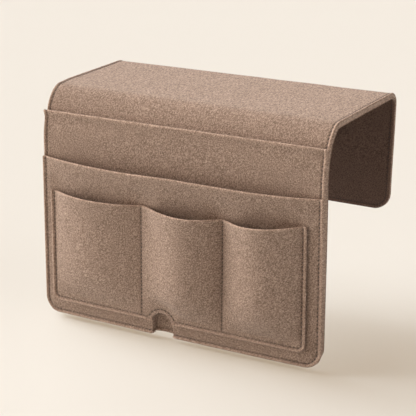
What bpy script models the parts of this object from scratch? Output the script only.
"""Sofa armrest organizer: a felt saddle with three layers of sewn pockets on its long side.

Frame: metres, +Z up. The origin is the middle of the flat underside that rests on the
sofa's arm. The long front drop hangs at -Y, the short rear flap at +Y, and X runs along
the arm. All felt is laid onto the saddle's side view, so each piece follows its sizes.
"""
from collections import namedtuple
from math import acos, cos, hypot, log, pi, sin, sqrt

import bmesh
import bpy
from mathutils import Matrix, Vector

MM = 0.001

# Saddle
WIDTH = 320 * MM
DEPTH = 164 * MM
DROP_HEIGHT = 242 * MM
FLAP_HEIGHT = 126 * MM
FRONT_BEND_REACH = 30 * MM
FRONT_BEND_FALL = 55 * MM
REAR_BEND_RADIUS = 12.5 * MM
CORNER_RADIUS = 20 * MM

# Felt and thread
SHELL_FELT = 2.2 * MM
LINING_FELT = 2.2 * MM
POCKET_FELT = 2.7 * MM
PLY_GAP = 0.3 * MM
THREAD_RADIUS = 0.4 * MM
SEAM_INSET = 4.5 * MM
SEAM_LAND = 1.2 * MM

# Rear and middle pocket, heights measured down from the top's outer face
REAR_MOUTH_DOWN = 22 * MM
MIDDLE_MOUTH_DOWN = 68 * MM
MIDDLE_BELLY = 12.5 * MM
MIDDLE_BELLY_END_DOWN = 135 * MM

# Front pocket row
ROW_LEFT_MARGIN = 11.7 * MM
ROW_RIGHT_MARGIN = 15.5 * MM
ROW_BOTTOM_MARGIN = 16 * MM
ROW_MOUTH_DOWN = 103 * MM
ROW_CORNER_RADIUS = 9 * MM
LEFT_COMPARTMENT_SHARE = 0.3728
MIDDLE_COMPARTMENT_SHARE = 0.3277
LEFT_BELLY = 11 * MM
MIDDLE_COMPARTMENT_BELLY = 18 * MM
RIGHT_BELLY = 18 * MM
BELLY_CLOSING_HEIGHT = 40 * MM
PINCH_HEIGHT = 26 * MM
PINCH_REACH = 24 * MM

# Folds: each hinge lies in the middle of the felt, this far down its bend
FRONT_FOLD_DOWN = REAR_MOUTH_DOWN / 3
REAR_FOLD_TURN = pi / 4

# Notch, an arch cut up into the pocket panels from their lower edge
NOTCH_HALF_WIDTH = 11.5 * MM
NOTCH_HEIGHT = 26.2 * MM
NOTCH_TO_LEFT_DIVIDER = 23.5 * MM
NOTCH_SEAM_INSET = 4.5 * MM
NOTCH_BELLY_REACH = 15 * MM
CUT_OVERRUN = 8 * MM

# How the bellies swell: where each one is fullest across its width, and how round it is
LEFT_PEAK_SHARE = 0.48
MIDDLE_PEAK_SHARE = 0.585
RIGHT_PEAK_SHARE = 0.53
COMPARTMENT_ROUNDNESS = 1.1
MIDDLE_ROUNDNESS = 0.5

FELT_COLOUR = (0.31, 0.23, 0.19, 1)
LINING_COLOUR = (0.22, 0.165, 0.14, 1)
THREAD_COLOUR = (0.15, 0.105, 0.085, 1)

# Places that follow from the sizes
HALF_WIDTH = WIDTH / 2
TOP_FACE = SHELL_FELT + PLY_GAP + LINING_FELT
FLAT_TOP = DEPTH - FRONT_BEND_REACH - REAR_BEND_RADIUS
FRONT_PLANE = -FLAT_TOP / 2 - FRONT_BEND_REACH
REAR_PLANE = FLAT_TOP / 2 + REAR_BEND_RADIUS
LINING_LIFT = -SHELL_FELT - PLY_GAP
REAR_POCKET_LIFT = PLY_GAP
MIDDLE_POCKET_LIFT = REAR_POCKET_LIFT + POCKET_FELT + PLY_GAP
ROW_LIFT = MIDDLE_POCKET_LIFT + POCKET_FELT + PLY_GAP
THREAD_LIFT = PLY_GAP + THREAD_RADIUS

SEAM_X = HALF_WIDTH - SEAM_INSET
ROW_LEFT = -HALF_WIDTH + ROW_LEFT_MARGIN
ROW_RIGHT = HALF_WIDTH - ROW_RIGHT_MARGIN
ROW_BOTTOM_DOWN = DROP_HEIGHT - ROW_BOTTOM_MARGIN
ROW_LEFT_SEAM = ROW_LEFT + SEAM_INSET
ROW_RIGHT_SEAM = ROW_RIGHT - SEAM_INSET
ROW_BOTTOM_SEAM_DOWN = ROW_BOTTOM_DOWN - SEAM_INSET
ROW_EDGE_ZONE = max(ROW_CORNER_RADIUS, SEAM_INSET + SEAM_LAND)
BELLY_END_DOWN = ROW_BOTTOM_DOWN - ROW_EDGE_ZONE
ROW_SEAM_SPAN = ROW_RIGHT_SEAM - ROW_LEFT_SEAM
LEFT_DIVIDER = ROW_LEFT_SEAM + ROW_SEAM_SPAN * LEFT_COMPARTMENT_SHARE
RIGHT_DIVIDER = LEFT_DIVIDER + ROW_SEAM_SPAN * MIDDLE_COMPARTMENT_SHARE
NOTCH_X = LEFT_DIVIDER + NOTCH_TO_LEFT_DIVIDER
NOTCH_CENTRE_DOWN = DROP_HEIGHT - NOTCH_HEIGHT + NOTCH_HALF_WIDTH
NOTCH_SEAM_RADIUS = NOTCH_HALF_WIDTH + NOTCH_SEAM_INSET

Side = namedtuple("Side", "plane outward reach fall height")
FRONT = Side(FRONT_PLANE, -1, FRONT_BEND_REACH, FRONT_BEND_FALL, DROP_HEIGHT)
REAR = Side(REAR_PLANE, 1, REAR_BEND_RADIUS, REAR_BEND_RADIUS, FLAP_HEIGHT)


def side_point(side, x, down, lift):
    """Place on the front or rear side: down from the top's face, lifted off the shell's face."""
    if down < side.fall:
        turn = acos(1 - down / side.fall)
        y = side.plane - side.outward * side.reach * (1 - sin(turn))
        away = Vector((side.outward * sin(turn) / side.reach, cos(turn) / side.fall)).normalized()
    else:
        y = side.plane
        away = Vector((side.outward, 0))
    return Vector((x, y + lift * away.x, TOP_FACE - down + lift * away.y))


def smooth(value):
    """Ease from 0 to 1."""
    value = min(max(value, 0), 1)
    return value * value * (3 - 2 * value)


def spread(start, end, count):
    """Evenly spaced values from start to end, both included."""
    return [start + (end - start) * step / count for step in range(count + 1)]


def join_runs(*runs):
    """One rising list from runs that share their end values."""
    values = list(runs[0])
    for run in runs[1:]:
        values += run[1:]
    return values


def bend_rows(side, start, end, count):
    """Heights of rows over a bend, evenly turned, from start to end down from the top's face."""
    turns = spread(acos(1 - start / side.fall), acos(1 - end / side.fall), count)
    return [side.fall * (1 - cos(turn)) for turn in turns]


def corner_rows(bottom, radius, count=6):
    """Heights of rows down a rounded corner that ends at the bottom edge."""
    return [bottom - radius * (1 - sin(pi / 2 * step / count)) for step in range(count + 1)]


def corner_inset(down, bottom, radius):
    """How far a rounded lower corner draws the side edge in at a height."""
    rise = max(radius - (bottom - down), 0)
    return radius - sqrt(max(radius * radius - rise * rise, 0))


def felt(name, colour):
    """Matt wool felt or thread, one material for each piece."""
    material = bpy.data.materials.new(name + "_finish")
    material.use_nodes = True
    shader = material.node_tree.nodes["Principled BSDF"]
    shader.inputs["Base Color"].default_value = colour
    shader.inputs["Roughness"].default_value = 0.95
    shader.inputs["Metallic"].default_value = 0
    return material


def lay_sheet(name, columns, rows, place, thickness, outwards, colour=FELT_COLOUR):
    """Felt panel: a flat grid laid in place point by point, then given its thickness.

    place(column, row) gives a point of the face that is laid down first. Columns run from
    left to right as seen from outside the saddle, so that this face looks outwards. The
    felt grows away from the arm when outwards is true, and towards it otherwise.
    """
    bm = bmesh.new()
    bmesh.ops.create_grid(bm, x_segments=len(columns) - 1, y_segments=len(rows) - 1, size=0.5)
    for vert in bm.verts:
        across = round((vert.co.x + 0.5) * (len(columns) - 1))
        along = round((vert.co.y + 0.5) * (len(rows) - 1))
        vert.co = place(columns[across], rows[along])
    mesh = bpy.data.meshes.new(name)
    bm.to_mesh(mesh)
    bm.free()
    panel = bpy.data.objects.new(name, mesh)
    parts.objects.link(panel)
    panel.data.materials.append(felt(name, colour))

    solidify = panel.modifiers.new("thickness", "SOLIDIFY")
    solidify.thickness = thickness
    solidify.offset = 1 if outwards else -1
    solidify.use_even_offset = True
    solidify.use_quality_normals = True
    return panel


def lay_thread(name, points, colour=THREAD_COLOUR):
    """One run of sewing thread as a plain cord along its points."""
    curve = bpy.data.curves.new(name, "CURVE")
    curve.dimensions = "3D"
    curve.bevel_depth = THREAD_RADIUS
    curve.bevel_resolution = 1
    curve.use_fill_caps = True
    spline = curve.splines.new("POLY")
    spline.points.add(len(points) - 1)
    for target, point in zip(spline.points, points):
        target.co = (*point, 1)
    thread = bpy.data.objects.new(name, curve)
    parts.objects.link(thread)
    thread.data.materials.append(felt(name, colour))
    return thread


def make_fold(name, side, down):
    """Empty on a hinge's axis, in the middle of the felt."""
    fold = bpy.data.objects.new(name, None)
    fold.location = side_point(side, 0, down, -TOP_FACE / 2)
    parts.objects.link(fold)
    return fold


def hang_on(fold, names):
    """Parent the pieces that turn with a fold to it, where they are."""
    for name in names:
        piece = bpy.data.objects[name]
        piece.parent = fold
        piece.matrix_parent_inverse = Matrix.Translation(-fold.location)


def side_sheet(name, side, rows, lift, thickness, outwards, colour=FELT_COLOUR):
    """Full-width panel on one side, flat across, with rounded lower corners."""
    def place(x, down):
        inset = corner_inset(down, side.height, CORNER_RADIUS)
        return side_point(side, x * (1 - inset / HALF_WIDTH), down, lift)

    columns = [side.outward * -HALF_WIDTH, side.outward * HALF_WIDTH]
    return lay_sheet(name, columns, rows, place, thickness, outwards, colour)


def saddle_ply(prefix, lift, thickness, colour):
    """One felt layer of the saddle in five panels, split where it bends over the arm."""
    rows = bend_rows(FRONT, 0, REAR_MOUTH_DOWN - PLY_GAP, 10)
    side_sheet(prefix + "_front_bend", FRONT, rows, lift, thickness, False, colour)

    rows = join_runs(bend_rows(FRONT, REAR_MOUTH_DOWN, FRONT_BEND_FALL, 6),
                     [FRONT_BEND_FALL, DROP_HEIGHT - CORNER_RADIUS],
                     corner_rows(DROP_HEIGHT, CORNER_RADIUS))
    side_sheet(prefix + "_front_drop", FRONT, rows, lift, thickness, False, colour)

    rows = bend_rows(REAR, 0, REAR_BEND_RADIUS - PLY_GAP, 10)
    side_sheet(prefix + "_rear_bend", REAR, rows, lift, thickness, False, colour)

    rows = join_runs([REAR_BEND_RADIUS, FLAP_HEIGHT - CORNER_RADIUS],
                     corner_rows(FLAP_HEIGHT, CORNER_RADIUS))
    side_sheet(prefix + "_rear_flap", REAR, rows, lift, thickness, False, colour)

    lay_sheet(prefix + "_top", [-HALF_WIDTH, HALF_WIDTH],
              [-FLAT_TOP / 2 + PLY_GAP, FLAT_TOP / 2 - PLY_GAP],
              lambda x, y: Vector((x, y, TOP_FACE + lift)), thickness, False, colour)


def near_seam(x):
    """Distance to the nearest upright seam of the front pocket row."""
    seams = (ROW_LEFT_SEAM, LEFT_DIVIDER, RIGHT_DIVIDER, ROW_RIGHT_SEAM)
    return min(abs(x - seam) for seam in seams)


def middle_belly(x, down):
    """How far the middle pocket stands off: fullest at its mouth, held flat at the row's seams."""
    share = (x + SEAM_X - SEAM_LAND) / (2 * (SEAM_X - SEAM_LAND))
    if not 0 < share < 1:
        return 0
    swell = MIDDLE_BELLY * sin(pi * share) ** MIDDLE_ROUNDNESS
    fall = (down - MIDDLE_MOUTH_DOWN) / (MIDDLE_BELLY_END_DOWN - MIDDLE_MOUTH_DOWN)
    fade = max(1 - fall, 0) ** 2
    pinch = smooth((down - ROW_MOUTH_DOWN + PINCH_HEIGHT) / (PINCH_HEIGHT - SEAM_LAND))
    held = 1 - smooth((near_seam(x) - SEAM_LAND) / PINCH_REACH)
    return swell * fade * (1 - pinch * held)


def compartment_belly(x, down):
    """How far the front row stands off the middle pocket at a place."""
    compartments = (
        (ROW_LEFT_SEAM, LEFT_DIVIDER, LEFT_BELLY, LEFT_PEAK_SHARE),
        (LEFT_DIVIDER, RIGHT_DIVIDER, MIDDLE_COMPARTMENT_BELLY, MIDDLE_PEAK_SHARE),
        (RIGHT_DIVIDER, ROW_RIGHT_SEAM, RIGHT_BELLY, RIGHT_PEAK_SHARE),
    )
    for left, right, belly, peak_share in compartments:
        share = (x - left - SEAM_LAND) / (right - left - 2 * SEAM_LAND)
        if 0 < share < 1:
            swell = belly * sin(pi * share ** (log(0.5) / log(peak_share))) ** COMPARTMENT_ROUNDNESS
            break
    else:
        return 0
    closing = max(down - BELLY_END_DOWN + BELLY_CLOSING_HEIGHT, 0) / BELLY_CLOSING_HEIGHT
    from_notch = hypot(x - NOTCH_X, max(NOTCH_CENTRE_DOWN - down, 0))
    notch_hold = smooth((from_notch - NOTCH_SEAM_RADIUS - SEAM_LAND) / NOTCH_BELLY_REACH)
    return swell * max(1 - closing * closing, 0) * notch_hold


def make_rear_pocket():
    """Flat full-width panel whose upper edge follows the bend."""
    rows = join_runs(bend_rows(FRONT, REAR_MOUTH_DOWN, FRONT_BEND_FALL, 6),
                     [FRONT_BEND_FALL, DROP_HEIGHT - CORNER_RADIUS],
                     corner_rows(DROP_HEIGHT, CORNER_RADIUS))
    return side_sheet("rear_pocket_panel", FRONT, rows, REAR_POCKET_LIFT, POCKET_FELT, True)


def make_middle_pocket():
    """Full-width panel with one wide belly at its mouth."""
    land = SEAM_X - SEAM_LAND
    columns = join_runs([-HALF_WIDTH, -land, ROW_LEFT_SEAM],
                        spread(ROW_LEFT_SEAM, LEFT_DIVIDER, 9),
                        spread(LEFT_DIVIDER, RIGHT_DIVIDER, 8),
                        spread(RIGHT_DIVIDER, ROW_RIGHT_SEAM, 8),
                        [ROW_RIGHT_SEAM, land, HALF_WIDTH])
    rows = join_runs(spread(MIDDLE_MOUTH_DOWN, ROW_MOUTH_DOWN, 5),
                     spread(ROW_MOUTH_DOWN, MIDDLE_BELLY_END_DOWN, 3),
                     [MIDDLE_BELLY_END_DOWN, DROP_HEIGHT - CORNER_RADIUS],
                     corner_rows(DROP_HEIGHT, CORNER_RADIUS, 5))

    def place(x, down):
        inset = corner_inset(down, DROP_HEIGHT, CORNER_RADIUS)
        lift = MIDDLE_POCKET_LIFT + middle_belly(x, down)
        return side_point(FRONT, x * (1 - inset / HALF_WIDTH), down, lift)

    return lay_sheet("middle_pocket_panel", columns[::-1], rows, place, POCKET_FELT, True)


def make_front_row():
    """Three bellied compartments in one panel."""
    columns = [ROW_LEFT, ROW_LEFT_SEAM + SEAM_LAND]
    ends = (LEFT_DIVIDER, RIGHT_DIVIDER, ROW_RIGHT_SEAM)
    for end, count in zip(ends, (8, 10, 9)):
        columns = join_runs(columns, spread(columns[-1], end - SEAM_LAND, count))
        columns.append(end + SEAM_LAND)
    columns[-1] = ROW_RIGHT
    closing_start = BELLY_END_DOWN - BELLY_CLOSING_HEIGHT
    rows = join_runs(spread(ROW_MOUTH_DOWN, closing_start, 4),
                     spread(closing_start, BELLY_END_DOWN, 6),
                     corner_rows(ROW_BOTTOM_DOWN, ROW_EDGE_ZONE, 4))
    middle = (ROW_LEFT + ROW_RIGHT) / 2
    half = (ROW_RIGHT - ROW_LEFT) / 2

    def place(x, down):
        inset = corner_inset(down, ROW_BOTTOM_DOWN, ROW_CORNER_RADIUS)
        lift = ROW_LIFT + middle_belly(x, down) + compartment_belly(x, down)
        return side_point(FRONT, middle + (x - middle) * (1 - inset / half), down, lift)

    return lay_sheet("front_pocket_row", columns[::-1], rows, place, POCKET_FELT, True)


def make_notch_cutter():
    """Arched bar that cuts the notch up through the pocket panels."""
    curve = bpy.data.curves.new("notch_outline", "CURVE")
    curve.dimensions = "2D"
    curve.fill_mode = "BOTH"
    curve.extrude = (POCKET_FELT * 3 + PLY_GAP * 3) / 2
    arc = [(-NOTCH_HALF_WIDTH * cos(turn), NOTCH_HALF_WIDTH * sin(turn)) for turn in spread(0, pi, 16)]
    foot = NOTCH_CENTRE_DOWN - DROP_HEIGHT - CUT_OVERRUN
    outline = [(-NOTCH_HALF_WIDTH, foot), *arc, (NOTCH_HALF_WIDTH, foot)]
    spline = curve.splines.new("POLY")
    spline.points.add(len(outline) - 1)
    spline.use_cyclic_u = True
    for target, (x, y) in zip(spline.points, outline):
        target.co = (x, y, 0, 1)
    guide = bpy.data.objects.new("notch_outline", curve)
    cutters.objects.link(guide)
    guide.rotation_euler = (pi / 2, 0, 0)
    middle_lift = (PLY_GAP + POCKET_FELT * 3 + PLY_GAP * 3) / 2
    guide.location = side_point(FRONT, NOTCH_X, NOTCH_CENTRE_DOWN, middle_lift)
    bpy.context.view_layer.update()

    mesh = bpy.data.meshes.new_from_object(guide.evaluated_get(bpy.context.evaluated_depsgraph_get()))
    bm = bmesh.new()
    bm.from_mesh(mesh)
    bmesh.ops.remove_doubles(bm, verts=bm.verts, dist=0.01 * MM)
    bmesh.ops.recalc_face_normals(bm, faces=bm.faces)
    bm.to_mesh(mesh)
    bm.free()
    cutter = bpy.data.objects.new("notch_cutter", mesh)
    cutter.matrix_world = guide.matrix_world
    cutters.objects.link(cutter)
    bpy.data.objects.remove(guide)
    cutter.hide_render = True
    cutter.display_type = "WIRE"
    return cutter


def cut_notch(panel, cutter):
    notch = panel.modifiers.new("cable_notch", "BOOLEAN")
    notch.operation = "DIFFERENCE"
    notch.solver = "EXACT"
    notch.object = cutter


def edge_run(side, start, inset, lift):
    """Seam down the left edge from start and round the lower corner."""
    radius = CORNER_RADIUS - inset
    seam_down = side.height - inset
    points = [side_point(side, -HALF_WIDTH + inset, start, lift)]
    for turn in spread(0, pi / 2, 8):
        x = -HALF_WIDTH + inset + radius * (1 - cos(turn))
        points.append(side_point(side, x, seam_down - radius * (1 - sin(turn)), lift))
    return points


def mirrored(points):
    """The same run on the right, taken from its end back to its start."""
    return [Vector((-point.x, point.y, point.z)) for point in reversed(points)]


def make_drop_edge_threads():
    """Perimeter seam of the front drop: two runs that stop at the notch.

    Each one lies on the rear pocket, steps up over the middle pocket's mouth, and
    follows the lower corner.
    """
    rear_face = REAR_POCKET_LIFT + POCKET_FELT + THREAD_LIFT
    middle_face = MIDDLE_POCKET_LIFT + POCKET_FELT + THREAD_LIFT
    start = REAR_MOUTH_DOWN + PLY_GAP
    step = MIDDLE_MOUTH_DOWN - THREAD_LIFT
    run = [side_point(FRONT, -SEAM_X, down, rear_face)
           for down in bend_rows(FRONT, start, FRONT_BEND_FALL, 6)]
    run.append(side_point(FRONT, -SEAM_X, step, rear_face))
    run.append(side_point(FRONT, -SEAM_X, step, middle_face))
    run += edge_run(FRONT, MIDDLE_MOUTH_DOWN, SEAM_INSET, middle_face)
    seam_down = DROP_HEIGHT - SEAM_INSET
    left_stop = side_point(FRONT, NOTCH_X - NOTCH_SEAM_RADIUS, seam_down, middle_face)
    right_stop = side_point(FRONT, NOTCH_X + NOTCH_SEAM_RADIUS, seam_down, middle_face)
    lay_thread("front_drop_thread_left", [*run, left_stop])
    lay_thread("front_drop_thread_right", [right_stop, *mirrored(run)])


def make_upper_edge_threads():
    """Perimeter seam over the bends and along the top, one run near each side edge."""
    top_reach = FLAT_TOP / 2 - PLY_GAP
    runs = {
        "front_bend_thread": bend_thread_points(FRONT, REAR_MOUTH_DOWN),
        "top_edge_thread": [Vector((-SEAM_X, y, TOP_FACE + THREAD_LIFT))
                            for y in (-top_reach, top_reach)],
        "rear_bend_thread": bend_thread_points(REAR, REAR_BEND_RADIUS),
    }
    for name, run in runs.items():
        lay_thread(name + "_left", run)
        lay_thread(name + "_right", mirrored(run))


def bend_thread_points(side, end):
    """Left edge's seam over a bend, down to end."""
    rows = bend_rows(side, 0, end - PLY_GAP, 10)
    return [side_point(side, -SEAM_X, down, THREAD_LIFT) for down in rows]


def make_flap_edge_thread():
    """Perimeter seam round the rear flap."""
    half = edge_run(REAR, REAR_BEND_RADIUS, SEAM_INSET, THREAD_LIFT)
    lay_thread("rear_flap_thread", [*half, *mirrored(half)])


def make_row_thread():
    """Seam round the front row: down the left, along the bottom, over the notch, up the right."""
    face = ROW_LIFT + POCKET_FELT + THREAD_LIFT
    radius = ROW_CORNER_RADIUS - SEAM_INSET
    start = ROW_MOUTH_DOWN + THREAD_RADIUS
    places = [(ROW_LEFT_SEAM, start)]
    for turn in spread(0, pi / 2, 4):
        places.append((ROW_LEFT_SEAM + radius * (1 - cos(turn)),
                       ROW_BOTTOM_SEAM_DOWN - radius * (1 - sin(turn))))
    join_turn = acos((NOTCH_CENTRE_DOWN - ROW_BOTTOM_SEAM_DOWN) / NOTCH_SEAM_RADIUS)
    for turn in spread(-join_turn, join_turn, 12):
        places.append((NOTCH_X + NOTCH_SEAM_RADIUS * sin(turn),
                       NOTCH_CENTRE_DOWN - NOTCH_SEAM_RADIUS * cos(turn)))
    for turn in spread(pi / 2, 0, 4):
        places.append((ROW_RIGHT_SEAM - radius * (1 - cos(turn)),
                       ROW_BOTTOM_SEAM_DOWN - radius * (1 - sin(turn))))
    places.append((ROW_RIGHT_SEAM, start))
    lay_thread("pocket_row_thread", [side_point(FRONT, x, down, face) for x, down in places])


def make_divider_thread(name, x):
    """Upright seam between two compartments."""
    face = ROW_LIFT + POCKET_FELT + THREAD_LIFT
    end = ROW_BOTTOM_SEAM_DOWN - THREAD_RADIUS * 2 - PLY_GAP
    lay_thread(name, [side_point(FRONT, x, ROW_MOUTH_DOWN + THREAD_RADIUS, face),
                      side_point(FRONT, x, end, face)])


for leftover in list(bpy.data.objects):
    bpy.data.objects.remove(leftover)
parts = bpy.data.collections.new("armrest_organizer")
cutters = bpy.data.collections.new("cutters")
bpy.context.scene.collection.children.link(parts)
bpy.context.scene.collection.children.link(cutters)

saddle_ply("shell", 0, SHELL_FELT, FELT_COLOUR)
saddle_ply("lining", LINING_LIFT, LINING_FELT, LINING_COLOUR)
notch_cutter = make_notch_cutter()
for pocket in (make_rear_pocket(), make_middle_pocket(), make_front_row()):
    cut_notch(pocket, notch_cutter)
make_drop_edge_threads()
make_upper_edge_threads()
make_flap_edge_thread()
make_row_thread()
make_divider_thread("divider_thread_left", LEFT_DIVIDER)
make_divider_thread("divider_thread_right", RIGHT_DIVIDER)

hang_on(make_fold("front_fold", FRONT, FRONT_FOLD_DOWN), (
    "shell_front_drop", "lining_front_drop", "rear_pocket_panel", "middle_pocket_panel",
    "front_pocket_row", "front_drop_thread_left", "front_drop_thread_right",
    "pocket_row_thread", "divider_thread_left", "divider_thread_right"))
rear_fold_down = REAR_BEND_RADIUS * (1 - cos(REAR_FOLD_TURN))
hang_on(make_fold("rear_fold", REAR, rear_fold_down), (
    "shell_rear_flap", "lining_rear_flap", "rear_flap_thread"))
